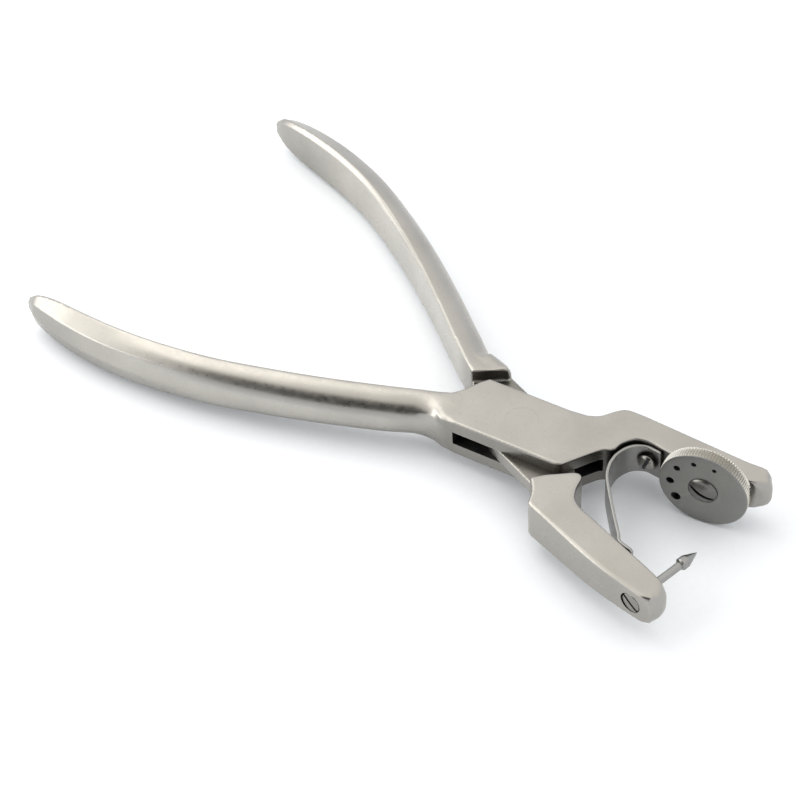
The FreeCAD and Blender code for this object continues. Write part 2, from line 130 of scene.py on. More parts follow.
def finished(obj, name, slot, nodes, *materials, flat_along=Vector()):
    """Scale a mesh to metres, shade it and let it stand for its CAD nodes.

    Faces that look exactly along flat_along are shaded flat.
    """
    obj.name = name
    obj.data.name = name
    obj.data.transform(Matrix.Scale(MM, 4))
    obj.data.shade_smooth()
    for polygon in obj.data.polygons:
        if abs(polygon.normal.dot(flat_along)) > FLAT_COSINE:
            polygon.use_smooth = False
    obj.data.set_sharp_from_angle(angle=SHARP)
    apply_modifier(obj, "WEIGHTED_NORMAL", keep_sharp=True)
    numbers = [polygon.material_index for polygon in obj.data.polygons]
    obj.data.materials.clear()
    for material in materials:
        obj.data.materials.append(material)
    obj.data.polygons.foreach_set("material_index", numbers)
    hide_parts(*nodes)
    return obj


def clamp(value, low=0.0, high=1.0):
    return max(low, min(high, value))


def ramp(value, start, end):
    """0 before start, 1 after end, smooth between them."""
    t = clamp((value - start) / (end - start))
    return t * t * (3 - 2 * t)


# ---- curves and outlines ------------------------------------------------------------

def catmull(points, steps):
    """Points on a smooth curve through the given ones, steps to each stretch."""
    ends = [points[0] * 2 - points[1]] + points + [points[-1] * 2 - points[-2]]
    curve = []
    for a, b, c, d in zip(ends, ends[1:], ends[2:], ends[3:]):
        for i in range(steps):
            t = i / steps
            curve.append(
                b
                + (c - a) * (t / 2)
                + (a * 2 - b * 5 + c * 4 - d) * (t * t / 2)
                + (b * 3 - a - c * 3 + d) * (t ** 3 / 2)
            )
    curve.append(points[-1])
    return curve


def outline(*stretches, step=0.45):
    """A closed plan loop, counter-clockwise, of "line" chains and smooth "curve" chains.

    Each stretch starts where the one before it ended.
    """
    loop = []
    first = Vector(stretches[0][1][0])
    for kind, coordinates in stretches:
        points = [Vector(pair) for pair in coordinates]
        if loop and (points[0] - loop[-1]).length > 1e-6:
            points.insert(0, loop[-1])
        if len(points) < 2:
            points.append(first)
        if kind == "curve":
            points = catmull(points, 5)
        for a, b in zip(points, points[1:]):
            count = max(1, round((b - a).length / step))
            loop += [a.lerp(b, i / count) for i in range(count)]
        loop.append(points[-1])
    loop = [p for p, before in zip(loop, loop[-1:] + loop[:-1]) if (p - before).length > 1e-4]
    area = sum(a.cross(b) for a, b in zip(loop, loop[1:] + loop[:1]))
    return loop if area > 0 else loop[::-1]


SHARPEST_MITRE = 0.6      # limits how far a corner's direction is stretched


def outward(loop):
    """The loop's outward direction at each point, longer at corners."""
    directions = []
    for before, here, after in zip(loop[-1:] + loop[:-1], loop, loop[1:] + loop[:1]):
        a = (here - before).normalized()
        b = (after - here).normalized()
        side = Vector((a.y + b.y, -a.x - b.x)).normalized()
        turn = side.dot(Vector((a.y, -a.x)))
        directions.append(side / max(SHARPEST_MITRE, turn))
    return directions


def slab(loop, bottom, top, rounding, steps=4):
    """A plate over a plan loop. Its edges are rounded by rounding(point), which gives how
    far the flat faces stop short of the loop and how far down the rounding reaches."""
    directions = outward(loop)
    angles = [math.pi / 2 * (i / steps - 1) for i in range(steps + 1)]
    rows = [(a, True) for a in angles] + [(-a, False) for a in reversed(angles)]
    vertices = []
    for angle, low in rows:
        for point, direction in zip(loop, directions):
            short, drop = rounding(point)
            inset = point - direction * (short * (1 - math.cos(angle)))
            level = bottom + drop if low else top - drop
            vertices.append((inset.x, inset.y, level + drop * math.sin(angle)))
    return skinned(vertices, len(rows), len(loop))


def skinned(vertices, rows, count):
    """A closed tube over rows of count points each, with a face at either end."""
    faces = [list(reversed(range(count)))]
    faces.append([(rows - 1) * count + i for i in range(count)])
    for row in range(rows - 1):
        for i in range(count):
            j = (i + 1) % count
            base = row * count
            faces.append([base + i, base + j, base + count + j, base + count + i])
    return new_object("skin", vertices, faces)


def lathe(profile, base, axis, along, segments=72):
    """A turned solid from (radius, height) points that start and end on the axis."""
    across = axis.cross(along)
    vertices = [base + axis * profile[0][1], base + axis * profile[-1][1]]
    rings = profile[1:-1]
    for radius, height in rings:
        for i in range(segments):
            a = 2 * math.pi * i / segments
            spoke = along * math.cos(a) + across * math.sin(a)
            vertices.append(base + axis * height + spoke * radius)
    faces = []
    last = 2 + (len(rings) - 1) * segments
    for i in range(segments):
        j = (i + 1) % segments
        faces.append([0, 2 + j, 2 + i])
        faces.append([1, last + i, last + j])
        for row in range(len(rings) - 1):
            low = 2 + row * segments
            high = low + segments
            faces.append([low + i, low + j, high + j, high + i])
    return new_object("turned", vertices, faces)


def rod(radius, base, axis, length, segments=48):
    along = UP if abs(axis.z) < 0.9 else Vector((1, 0, 0))
    profile = [(0, 0), (radius, 0), (radius, length), (0, length)]
    return lathe(profile, base, axis, along, segments)


SLOT_HEADROOM = 3.0       # how far a slot's cutter stands out of the screw


def bar(centre, axis, along, width, depth, length):
    """A box for a driver slot: its floor is depth below centre."""
    across = axis.cross(along)
    vertices = []
    for level in (-depth, SLOT_HEADROOM):
        for a, b in ((-1, -1), (1, -1), (1, 1), (-1, 1)):
            side = along * (a * length / 2) + across * (b * width / 2)
            vertices.append(centre + axis * level + side)
    return skinned(vertices, 2, 4)


def plan_direction(angle):
    a = math.radians(angle)
    return Vector((math.cos(a), math.sin(a), 0))


# ---- handles ------------------------------------------------------------------------

# Along each handle: x, height, depth square to the flat inner face, squareness (2 is a
# half ellipse), and the flat inner face's y on the rear (+Y) and on the front handle.
HANDLE_STATIONS = (
    (-14.5, 10.0, 7.3, 7.0, 2.6, -1.9),
    (-20.5, 10.3, 6.9, 2.6, 5.1, -5.9),
    (-30.0, 10.8, 7.0, 2.3, 10.2, -12.0),
    (-42.0, 11.3, 7.0, 2.2, 16.9, -19.1),
    (-54.0, 11.8, 6.9, 2.2, 23.1, -25.5),
    (-65.0, 12.3, 6.7, 2.2, 28.1, -30.8),
    (-77.0, 12.8, 6.5, 2.2, 32.7, -35.2),
    (-88.0, 12.9, 6.3, 2.2, 35.3, -38.1),
    (-97.5, 12.4, 5.9, 2.2, 36.6, -39.6),
    (-105.0, 11.2, 5.1, 2.2, 37.3, -40.3),
    (-110.5, 8.6, 3.7, 2.2, 38.0, -41.0),
    (-113.4, 4.2, 1.8, 2.2, 38.6, -41.7),
)
REAR, FRONT = 4, 5
SECTION_STEPS = 36
CREASE_ANGLE = math.radians(40)


def handle_section(x, height, depth, squareness):
    """(out, up) points from the bottom to the top of a handle's outer side.

    Towards the tip the round outside turns into a broad bevel, a crease and a steep
    side, and the inner edges are bevelled more.
    """
    crease = ramp(-x, 62, 92)
    bevel = 0.3 + 0.75 * ramp(-x, 22, 95)
    bevel = min(bevel, depth * 0.35)
    power = 2 / squareness

    def arc(angle):
        out = bevel + (depth - bevel) * abs(math.cos(angle)) ** power
        return Vector((out, height / 2 * abs(math.sin(angle)) ** power))

    corner = arc(CREASE_ANGLE)
    points = []
    for i in range(SECTION_STEPS + 1):
        angle = math.pi * (i / SECTION_STEPS - 0.5)
        size = abs(angle)
        if size > CREASE_ANGLE:
            share = (size - CREASE_ANGLE) / (math.pi / 2 - CREASE_ANGLE)
            flat = corner.lerp(arc(math.pi / 2), share)
        else:
            flat = arc(0).lerp(corner, size / CREASE_ANGLE)
        point = arc(size).lerp(flat, crease)
        points.append((point.x, math.copysign(point.y, angle)))
    points.append((0, height / 2 - bevel))
    points.append((0, bevel - height / 2))
    return points


def handle(column):
    """One handle, skinned over sections along its curve."""
    rows = catmull([Vector((s[0], s[column], s[1], s[2], s[3])) for s in HANDLE_STATIONS], 10)
    vertices = []
    for i, (x, y, height, depth, squareness) in enumerate(rows):
        before = rows[max(0, i - 1)]
        after = rows[min(len(rows) - 1, i + 1)]
        run = Vector((after[0] - before[0], after[1] - before[1])).normalized()
        side = Vector((-run.y, run.x))
        if side.y * y < 0:
            side = -side
        for out, rise in handle_section(x, height, depth, squareness):
            vertices.append((x + side.x * out, y + side.y * out, MID + rise))
    return skinned(vertices, len(rows), len(vertices) // len(rows))


# ---- the two forgings ---------------------------------------------------------------

TAPER_START = 20.0        # both jaws thin from here
TAPER_END = 52.0
TIP_THICK = 8.2
LAP_THICK = 3.5
LAP_GAP = 0.05

PIVOT_RADIUS = 2.6
PIVOT_HEAD_RADIUS = 3.6
PIVOT_HEAD_DEPTH = 1.2

WHEEL_THICK = 2.9
SEAT_GAP = 0.06
SEAT_POINT = WHEEL_CENTRE - WHEEL_AXIS * (WHEEL_THICK + SEAT_GAP)
TRACK_RADIUS = 5.0
SPRING_SCREW_SEAT = Vector((25.2, 12.97, MID))
SPRING_SCREW_AXIS = plan_direction(-79)

PIN_AXIS = plan_direction(84)
PIN_POINT = Vector((48.84, -3.97, MID))
PIN_BASE = PIN_POINT - PIN_AXIS * 14.6
JAW_BACK = PIN_POINT - PIN_AXIS * 16.9


def forge(name, solids):
    """Melt overlapping solids into one skin and thin the jaws towards their tips."""
    body = joined(name, solids)
    apply_modifier(body, "REMESH", mode="VOXEL", voxel_size=VOXEL, adaptivity=0)
    apply_modifier(body, "SMOOTH", factor=0.5, iterations=4)
    for vertex in body.data.vertices:
        share = (vertex.co.x - TAPER_START) / (TAPER_END - TAPER_START)
        scale = 1 - (1 - TIP_THICK / THICK) * max(0.0, share)
        vertex.co.z = MID + (vertex.co.z - MID) * scale
    return body


def seat_y(x):
    """The wheel seat's y at a given x."""
    return SEAT_POINT.y + (x - SEAT_POINT.x) * WHEEL_ALONG.y / WHEEL_ALONG.x


def box_plate():
    loop = outline(
        ("line", [(-14.2, -11.0), (12.6, -5.25)]),
        ("curve", [(13.9, -4.9), (14.8, -4.1)]),
        ("line", [(17.3, 2.0)]),
        ("curve", [(18.4, 4.3), (19.8, 5.6), (20.5, 6.9)]),
        ("curve", [(20.7, 9.2), (22.0, 11.6), (24.7, 12.9), (28.0, 13.2), (30.6, seat_y(30.6))]),
        ("line", [(49.0, seat_y(49.0))]),
        ("curve", [(50.6, 19.8), (51.2, 21.6), (49.7, 23.4)]),
        ("curve", [(47.8, 23.5), (44.0, 22.5)]),
        ("line", [(19.0, 18.2)]),
        ("curve", [(15.3, 17.2), (13.5, 15.0), (12.0, 12.1), (9.9, 10.4)]),
        ("line", [(6.0, 9.1), (-13.4, 4.9), (-14.5, 2.7)]),
        ("curve", [(-15.6, -0.8), (-17.4, -4.0), (-20.5, -6.1)]),
        ("line", [(-18.8, -8.6)]),
        ("curve", [(-16.6, -9.7), (-14.2, -11.0)]),
    )

    def rounding(p):
        tip = ramp(p.x, 47.6, 50.8)
        return 0.35 + 1.6 * tip, 0.35 + 3.5 * tip

    return slab(loop, 0, THICK, rounding, 6)


def box_slot():
    low = MID - LAP_THICK / 2 - LAP_GAP
    high = MID + LAP_THICK / 2 + LAP_GAP
    corners = [
        (-10.7, -13.0),
        (-11.6, -5.7),
        (-18.5, -3.9),
        (-18.5, 12.0),
        (9.3, 12.0),
        (10.6, 6.5),
        (19.3, 4.7),
        (22.0, 3.0),
        (17.0, -13.0),
    ]
    return plain_slab(corners, low, high)


def plain_slab(corners, bottom, top):
    vertices = [(x, y, bottom) for x, y in corners] + [(x, y, top) for x, y in corners]
    area = sum(Vector(a).cross(Vector(b)) for a, b in zip(corners, corners[1:] + corners[:1]))
    if area < 0:
        vertices = [(x, y, z) for x, y, z in vertices[:len(corners)][::-1]]
        vertices += [(x, y, top) for x, y, _ in vertices]
    return skinned(vertices, 2, len(corners))


def pivot_seat():
    profile = [
        (0, -1),
        (PIVOT_HEAD_RADIUS, -1),
        (PIVOT_HEAD_RADIUS, 0),
        (PIVOT_RADIUS, PIVOT_HEAD_DEPTH),
        (PIVOT_RADIUS, THICK - PIVOT_HEAD_DEPTH),
        (PIVOT_HEAD_RADIUS, THICK),
        (PIVOT_HEAD_RADIUS, THICK + 1),
        (0, THICK + 1),
    ]
    return lathe(profile, Vector(), UP, Vector((1, 0, 0)))


def sunk_hole(radius, mouth, axis, depth):
    return rod(radius, mouth + axis, -axis, depth + 1)


def neck(p):
    """How far a point lies in the neck where the front handle runs into the box."""
    distance = (p - Vector((-17.0, -10.3, p.z))).length
    return 1 - ramp(distance, 2.5, 6.5)


def neck_fill():
    """The flare that carries the front handle's round outside into the box's side."""
    loop = outline(
        ("line", [(-12.5, -10.6), (-14.5, -9.0), (-20.0, -8.6), (-24.0, -11.5)]),
        ("curve", [(-21.3, -12.9), (-19.0, -12.1), (-16.6, -11.6), (-14.4, -11.4), (-12.5, -10.6)]),
    )
    return slab(loop, 0.6, THICK - 1.2, lambda p: (1.4, 3.0))


def painted_shade_and_sheen(obj, amount):
    """Store at each vertex the painted shade (darker) and painted sheen (lighter) put into the
    steel's colour, from amount(point, normal).

    1 is the darkest painted shade, 0 plain and below 0 is painted sheen.
    """
    layer = obj.data.attributes.new("painted_shade_and_sheen", "FLOAT", "POINT")
    values = [amount(vertex.co, vertex.normal) for vertex in obj.data.vertices]
    layer.data.foreach_set("value", values)


def steep(normal):
    """1 on faces that stand upright, 0 on the flat top and bottom."""
    return 1 - ramp(abs(normal.z), 0.35, 0.8)


def grip_wear_and_sheen(p, normal):
    """The handles' sides are lightened, most on the flat inner faces: wear from the hand plus a
    painted reflection of the bright floor beside them.
    """
    inward = -normal.y if p.y > 0 else normal.y
    # Painted sheen: lighter colour standing in for the bright floor that the sides reflect.
    wear_and_sheen = 0.85 * ramp(inward, 0.75, 0.85) + 0.3 * ramp(-inward, 0.75, 0.85)
    return -wear_and_sheen * steep(normal) * ramp(p.x, -108, -75) * (1 - ramp(p.x, -26, -20))


def box_shade_and_sheen(p, normal):
    """Painted shade, where shade falls, on the throat (partly its dark oxide), the wheel seat and
    the box's near side, plus the handle's wear and sheen.
    """
    throat = ramp(p.x, 13.6, 15.0) * (1 - ramp(p.x, 30, 32)) * ramp(p.y, -5.2, -4.2)
    seat = ramp(p.x, 30, 32) * (1 - ramp(p.x, 46, 49))
    near = ramp(-normal.y, 0.85, 0.95) * ramp(p.x, -16, -12) * (1 - ramp(p.x, 12, 14))
    inner = 1 - ramp(p.y - seat_y(p.x), 1.0, 2.0)
    # Painted shade: the throat, the seat beside the wheel and the near side are darkened.
    painted_shading = steep(normal) * inner * max(0.85 * throat, 0.45 * seat, 0.42 * near)
    return painted_shading + grip_wear_and_sheen(p, normal)


def punch_shade_and_sheen(p, normal):
    """Painted shade on the step that meets the box's rear edge and on the lap under the cheek,
    where shade falls, plus the handle's wear and sheen.
    """
    # Painted shade on the step face and on the lap top under the cheek.
    step = steep(normal) * (1 - ramp(abs(p.y - p.x - 21.8), 0.5, 1.5)) * ramp(p.x, -19.5, -18)
    lap = (1 - ramp(abs(p.z - MID), 1.9, 2.3)) * ramp(normal.z, 0.7, 0.95) * (1 - ramp(p.x, 15, 17))
    return max(0.58 * step, 0.75 * lap) + grip_wear_and_sheen(p, normal)


def box_forging(steel, oxide_and_shade):
    body = forge("box", [box_plate(), handle(FRONT), neck_fill()])
    soften(body, neck, 110)
    ball_seat = SEAT_POINT - WHEEL_ALONG * TRACK_RADIUS
    cut(body, [box_slot()])
    cut(body, [
        pivot_seat(),
        sunk_hole(1.5, SEAT_POINT, WHEEL_AXIS, 4.9),
        sunk_hole(1.02, ball_seat, WHEEL_AXIS, 4.2),
        sunk_hole(1.1, SPRING_SCREW_SEAT, SPRING_SCREW_AXIS, 3.5),
    ])
    painted_shade_and_sheen(body, box_shade_and_sheen)
    finished(body, "box_forging", "forged_steel", ["box_half"], steel, oxide_and_shade)
    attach(body, "box")


def punch_jaw():
    loop = outline(
        ("line", [(12.1, -11.3), (14.0, -8.6), (18.2, -4.2)]),
        ("curve", [(19.4, -3.7), (20.5, -4.3), (21.1, -6.2)]),
        ("curve", [(21.8, -7.9), (23.2, -9.7), (25.6, -10.8), (28.6, -11.2)]),
        ("curve", [(37.0, -12.5), (44.0, -13.6), (51.0, -14.8)]),
        ("curve", [(52.4, -15.5), (53.0, -17.9), (52.2, -20.8)]),
        ("curve", [(44.1, -20.7), (38.0, -20.4), (32.0, -19.7), (24.0, -18.4), (17.2, -17.3)]),
        ("line", [(16.3, -16.9)]),
        ("curve", [(14.6, -13.8), (12.1, -11.3)]),
    )

    def rounding(p):
        outer = ramp(p.x, 17, 32) * ramp(-p.y, 15.5, 18.5)
        tip = ramp(p.x, 49.6, 52.3)
        edge = 0.35 + 0.35 * outer * (1 - tip)
        return edge + 1.6 * tip, edge + 3.5 * tip

    return slab(loop, 0, THICK, rounding, 6)


def handle_root():
    loop = outline(
        ("line", [(-17.9, 3.9), (-12.9, 8.9)]),
        ("curve", [(-12.0, 9.7), (-12.3, 10.7), (-14.0, 11.4)]),
        ("line", [(-19.0, 12.0), (-22.0, 9.0), (-20.5, 5.1), (-17.9, 3.9)]),
    )

    def rounding(p):
        edge = 0.35 + 2.0 * ramp(p.y, 8.8, 10.4)
        return edge, edge

    return slab(loop, 0, THICK, rounding)


def rear_handle():
    """The punch half's handle, without the stretch that would reach into the box."""
    body = handle(REAR)
    corners = [(-30, 0), (-17.9, 3.9), (-11.0, 10.8), (0, 30), (40, 0), (0, -40)]
    cut(body, [plain_slab(corners, -10, 20)])
    return body


def lap_plate():
    low = MID - LAP_THICK / 2
    high = MID + LAP_THICK / 2
    disc = rod(7.7, Vector((0, 0, low)), UP, LAP_THICK, 96)
    jaw_arm = [(-1.67, -7.5), (12.6, -10.7), (18.5, -8.0), (20.0, -4.6), (18.9, -3.2), (3.0, 7.0)]
    rear_arm = [(1.67, 7.5), (-11.8, 10.4), (-18.0, 8.0), (-18.6, 4.6), (-17.2, 3.4), (-3.0, -7.0)]
    return [disc, plain_slab(jaw_arm, low, high), plain_slab(rear_arm, low, high)]


def punch_forging(steel, oxide_and_shade):
    body = forge("punch", lap_plate() + [punch_jaw(), handle_root(), rear_handle()])
    cut(body, [
        rod(PIVOT_RADIUS + 0.03, Vector((0, 0, -1)), UP, THICK + 2),
        lathe([(0, -3), (2.5, -3), (2.5, 2.3), (0.9, 2.3), (0.9, 20), (0, 20)],
              JAW_BACK, PIN_AXIS, UP),
    ])
    painted_shade_and_sheen(body, punch_shade_and_sheen)
    finished(body, "punch_forging", "forged_steel", ["punch_half"], steel, oxide_and_shade)
    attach(body, "punch")


# ---- die wheel ----------------------------------------------------------------------

WHEEL_RADIUS = 10.1
WHEEL_BORE = 2.05
TEETH = 96
TOOTH_DEPTH = 0.5
TOOTH_STEPS = 6
LIP = 0.38                # smooth bevel between the front face and the knurling
DIE_CIRCLE = 7.46
FIRST_DIE_ANGLE = 72.8
DIE_PITCH = 36
DIE_DIAMETERS = (0.9, 1.1, 1.4, 1.7, 2.1)


def knurl(angle):
    """How deep the rim is cut at this angle, 0 on a crest and 1 in a groove."""
    phase = (angle * TEETH / (2 * math.pi)) % 1.0
    return clamp(1.35 - 2.7 * abs(phase - 0.5))


def wheel_blank():
    """The wheel's ring: bore, front face, lip, knurled rim, back face, ball track."""
    edge = WHEEL_RADIUS - LIP
    back = -WHEEL_THICK
    plain = [(WHEEL_BORE, back + 0.1), (WHEEL_BORE, -0.1), (WHEEL_BORE + 0.1, 0)]
    plain += [(5.0, 0), (8.5, 0), (edge, 0)]
    plain += [(edge + LIP * 0.42, -LIP * 0.1), (edge + LIP * 0.8, -LIP * 0.4)]
    knurled = [-LIP, -LIP - 0.12, -1.0, -1.45, -1.9, back + LIP + 0.12, back + LIP]
    tail = [(edge + LIP * 0.5, back + LIP * 0.15), (edge, back), (5.95, back), (5.95, back + 0.47)]
    tail += [(4.05, back + 0.47), (4.05, back), (WHEEL_BORE + 0.1, back)]
    count = TEETH * TOOTH_STEPS
    vertices = []
    for i in range(count):
        a = 2 * math.pi * i / count
        spoke = WHEEL_ALONG * math.cos(a) + UP * math.sin(a)
        depth = TOOTH_DEPTH * knurl(a)
        rim = [(WHEEL_RADIUS - depth, level) for level in knurled]
        rim[0] = (WHEEL_RADIUS - max(depth, 0.1), knurled[0])
        for radius, level in plain + rim + tail:
            vertices.append(WHEEL_CENTRE + spoke * radius + WHEEL_AXIS * level)
    per = len(vertices) // count
    faces = []
    for i in range(count):
        j = (i + 1) % count
        for row in range(per):
            nxt = (row + 1) % per
            faces.append([i * per + row, i * per + nxt, j * per + nxt, j * per + row])
    return new_object("wheel", vertices, faces)


def wheel_point(angle, radius, level):
    a = math.radians(angle)
    spoke = WHEEL_ALONG * math.cos(a) + UP * math.sin(a)
    return WHEEL_CENTRE + spoke * radius + WHEEL_AXIS * (level - WHEEL_THICK)


def die_wheel(steel, oxide_and_shade, rim):
    body = wheel_blank()
    holes = []
    for i, diameter in enumerate(DIE_DIAMETERS):
        angle = FIRST_DIE_ANGLE + i * DIE_PITCH
        mouth = [
            (0, -1),
            (diameter / 2 + 0.25, -1),
            (diameter / 2 + 0.25, 1.4),
            (diameter / 2, 1.4),
            (diameter / 2, WHEEL_THICK - 0.08),
            (diameter / 2 + 0.1, WHEEL_THICK + 0.02),
            (diameter / 2 + 0.1, WHEEL_THICK + 1),
            (0, WHEEL_THICK + 1),
        ]
        holes.append(lathe(mouth, wheel_point(angle, DIE_CIRCLE, 0), WHEEL_AXIS, UP, 40))
    for i in range(360 // DIE_PITCH):
        centre = wheel_point(i * DIE_PITCH, TRACK_RADIUS, -1)
        holes.append(rod(0.5, centre, WHEEL_AXIS, 1.77, 24))
    cut(body, holes)
    # The knurled rim takes the lighter, smoother steel; its lightness is partly a painted
    # reflection of the sky on the crests.
    for polygon in body.data.polygons:
        offset = polygon.center - WHEEL_CENTRE
        radius = offset.cross(WHEEL_AXIS).length
        inside = -WHEEL_THICK + 0.3 * LIP < offset.dot(WHEEL_AXIS) < -0.6 * LIP
        if inside and radius > WHEEL_RADIUS - 1.2 * TOOTH_DEPTH:
            polygon.material_index = 2
    finished(body, "die_wheel_knurled", "wheel_steel", ["die_wheel"], steel, oxide_and_shade, rim,
             flat_along=WHEEL_AXIS)
    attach(body, "wheel")


# ---- screws and pin -----------------------------------------------------------------

def domed(radius, height, base, steps=8):
    """Profile points over a domed head, from its rounded rim to the axis."""
    ball = (radius * radius + height * height) / (2 * height)
    points = [(radius, base - 0.12), (radius - 0.03, base - 0.02)]
    for i in range(1, steps + 1):
        r = radius * (1 - i / steps)
        points.append((r, base + height - ball + math.sqrt(ball * ball - r * r)))
    return points


def slotted(profile, base, axis, along, crown, width, depth, length):
    """A turned screw with a driver slot, its edges lightly broken."""
    body = lathe(profile, base, axis, along, 72)
    cut(body, [bar(base + axis * crown, axis, along, width, depth, length)])
    apply_modifier(body, "BEVEL", width=0.05, segments=2, limit_method="ANGLE",
                   angle_limit=math.radians(38), use_clamp_overlap=True)
    return body


def wheel_screw(steel, oxide_and_shade):
    shoulder = WHEEL_THICK + SEAT_GAP + 0.05
    rim = shoulder + 0.2
    height = 1.15
    profile = [(0, -4.6), (1.1, -4.6), (1.48, -4.2), (1.48, 0), (2.0, 0), (2.0, shoulder)]
    profile += [(3.3, shoulder), (3.35, shoulder + 0.05)] + domed(3.35, height, rim)
    tilt = math.radians(-24)
    along = WHEEL_ALONG * math.cos(tilt) + UP * math.sin(tilt)
    body = slotted(profile, SEAT_POINT, WHEEL_AXIS, along, rim + height, 0.75, 0.95, 8)
    finished(body, "wheel_screw_slotted", "screw_steel", ["wheel_screw"], steel, oxide_and_shade)
    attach(body, "box")


def spring_screw(steel, oxide_and_shade):
    seat = 1.55
    rim = seat + 0.4
    height = 0.85
    profile = [(0, -3.2), (0.8, -3.2), (1.08, -2.9), (1.08, seat), (2.1, seat), (2.15, seat + 0.06)]
    profile += domed(2.15, height, rim)
    tilt = math.radians(17.5)
    along = UP * math.cos(tilt) + plan_direction(11) * math.sin(tilt)
    body = slotted(profile, SPRING_SCREW_SEAT, SPRING_SCREW_AXIS, along, rim + height, 0.75, 0.9, 6)
    finished(body, "spring_screw_slotted", "screw_steel", ["spring_screw"], steel, oxide_and_shade)
    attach(body, "box")


def punch_set_screw(steel, oxide_and_shade):
    radius = 2.35
    length = 2.2
    tilt = math.radians(30)
    along = plan_direction(-6) * math.cos(tilt) - UP * math.sin(tilt)
    profile = [(0, -length), (radius - 0.2, -length), (radius, 0.2 - length), (radius, -0.25)]
    profile += [(radius - 0.08, -0.08), (radius - 0.3, 0), (0, 0.08)]
    body = slotted(profile, JAW_BACK, -PIN_AXIS, along, 0, 0.65, 0.8, 6)
    finished(body, "punch_set_screw_slotted", "screw_steel", ["punch_set_screw"], steel, oxide_and_shade)
    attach(body, "punch")


def punch_pin(steel):
    """Straight shank, a collar and a long sharp point."""
    length = (PIN_POINT - PIN_BASE).length + 2.73
    collar = length - 5.0
    profile = [(0, 0), (0.75, 0), (0.88, 0.12), (0.88, collar - 0.32), (0.84, collar - 0.28)]
    profile += [(1.28, collar), (1.38, collar + 0.12), (1.4, collar + 0.25), (1.4, collar + 1.5)]
    profile += [(1.36, collar + 1.62), (0.72, collar + 3.3), (0.1, length - 0.2), (0, length)]
    body = lathe(profile, PIN_BASE, PIN_AXIS, UP, 64)
    finished(body, "punch_pin_pointed", "pin_steel", ["punch_pin"], steel)
    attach(body, "punch")


def pivot_rivet(steel):
    """The pivot, its countersunk heads dressed flush with the cheeks."""
    sink = 0.01
    profile = [(0, sink), (PIVOT_HEAD_RADIUS - sink, sink), (PIVOT_RADIUS, PIVOT_HEAD_DEPTH)]
    profile += [(radius, THICK - level) for radius, level in reversed(profile)]
    body = lathe(profile, Vector(), UP, Vector((1, 0, 0)))
    finished(body, "pivot_rivet", "forged_steel", ["pivot_pin"], steel)
    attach(body, "box")


# ---- leaf spring --------------------------------------------------------------------

SPRING_THICK = 0.7
SPRING_WIDTH = 8.0
SPRING_LINE = (
    (28.4, 12.72), (26.6, 12.62), (24.6, 12.3), (22.7, 10.9), (21.6, 9.0), (21.2, 6.6),
    (21.35, 5.2), (21.9, 3.2), (23.5, 0.4), (26.6, -2.7), (31.4, -7.0), (35.6, -10.6),
    (36.45, -11.55), (37.6, -12.05), (40.6, -12.25),
)


def leaf_spring(steel, oxide_and_shade):
    """One bent strip: tab under the screw, bend, arm, heel and foot."""
    line = catmull([Vector(pair) for pair in SPRING_LINE], 10)
    corner = 0.16
    half = SPRING_WIDTH / 2
    thin = SPRING_THICK / 2
    section = []
    for side, level, start in ((1, 1, 0), (-1, 1, 90), (-1, -1, 180), (1, -1, 270)):
        for i in range(4):
            a = math.radians(start + 30 * i)
            out = side * (thin - corner) + corner * math.cos(a)
            section.append((out, level * (half - corner) + corner * math.sin(a)))
    vertices = []
    for i, point in enumerate(line):
        run = (line[min(i + 1, len(line) - 1)] - line[max(i - 1, 0)]).normalized()
        ends = min(i, len(line) - 1 - i)
        pull = 1 - 0.12 * max(0, 3 - ends) ** 2 / 9
        for out, rise in section:
            vertices.append((point.x - run.y * out, point.y + run.x * out, MID + rise * pull))
    body = skinned(vertices, len(line), len(section))
    below = SPRING_SCREW_SEAT - SPRING_SCREW_AXIS
    cut(body, [rod(1.2, below, SPRING_SCREW_AXIS, 4)])
    finished(body, "leaf_spring", "spring_steel", ["spring_tab", "spring_arm"], steel, oxide_and_shade)
    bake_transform(body)


# ---- materials ----------------------------------------------------------------------

NOISE_RANGE = (0.3, 0.7)      # where most of a noise's values lie
CREST_RANGE = (0.515, 0.58)   # pointiness, from a flat face to a rounded edge
RECESS_RANGE = (0.15, 0.75)   # share of open sky, from a deep recess to an open face
RECESS_REACH = 0.004          # metres within which neighbours close off the sky
SHADE_AND_SHEEN_FACTORS = (1.6, 0.4)   # colour factors of the lightest painted sheen and of the darkest painted shade


def plug(tree, socket, value):
    """Set a socket to a value, or link another node's output to it."""
    if isinstance(value, bpy.types.NodeSocket):
        tree.links.new(value, socket)
    else:
        socket.default_value = value


def node(tree, kind, **inputs):
    """A shader node with its named inputs set or linked."""
    made = tree.nodes.new(kind)
    for name, value in inputs.items():
        plug(tree, made.inputs[name.replace("_", " ")], value)
    return made


def maths(tree, operation, *values, kind="ShaderNodeMath", output="Value"):
    """The result of a math node, or of a vector math node if kind says so."""
    made = node(tree, kind)
    made.operation = operation
    for socket, value in zip(made.inputs, values):
        plug(tree, socket, value)
    return made.outputs[output]


def blended(tree, factor, a, b, blend_type="MIX"):
    """Two colours mixed by factor."""
    made = node(tree, "ShaderNodeMix")
    made.data_type = "RGBA"
    made.blend_type = blend_type
    for name, value in (("Factor", factor), ("A", a), ("B", b)):
        plug(tree, made.inputs[name], value)
    return made.outputs["Result"]


def remap(tree, value, low, high, to_low, to_high):
    made = node(tree, "ShaderNodeMapRange", Value=value, From_Min=low, From_Max=high,
                To_Min=to_low, To_Max=to_high)
    return made.outputs["Result"]


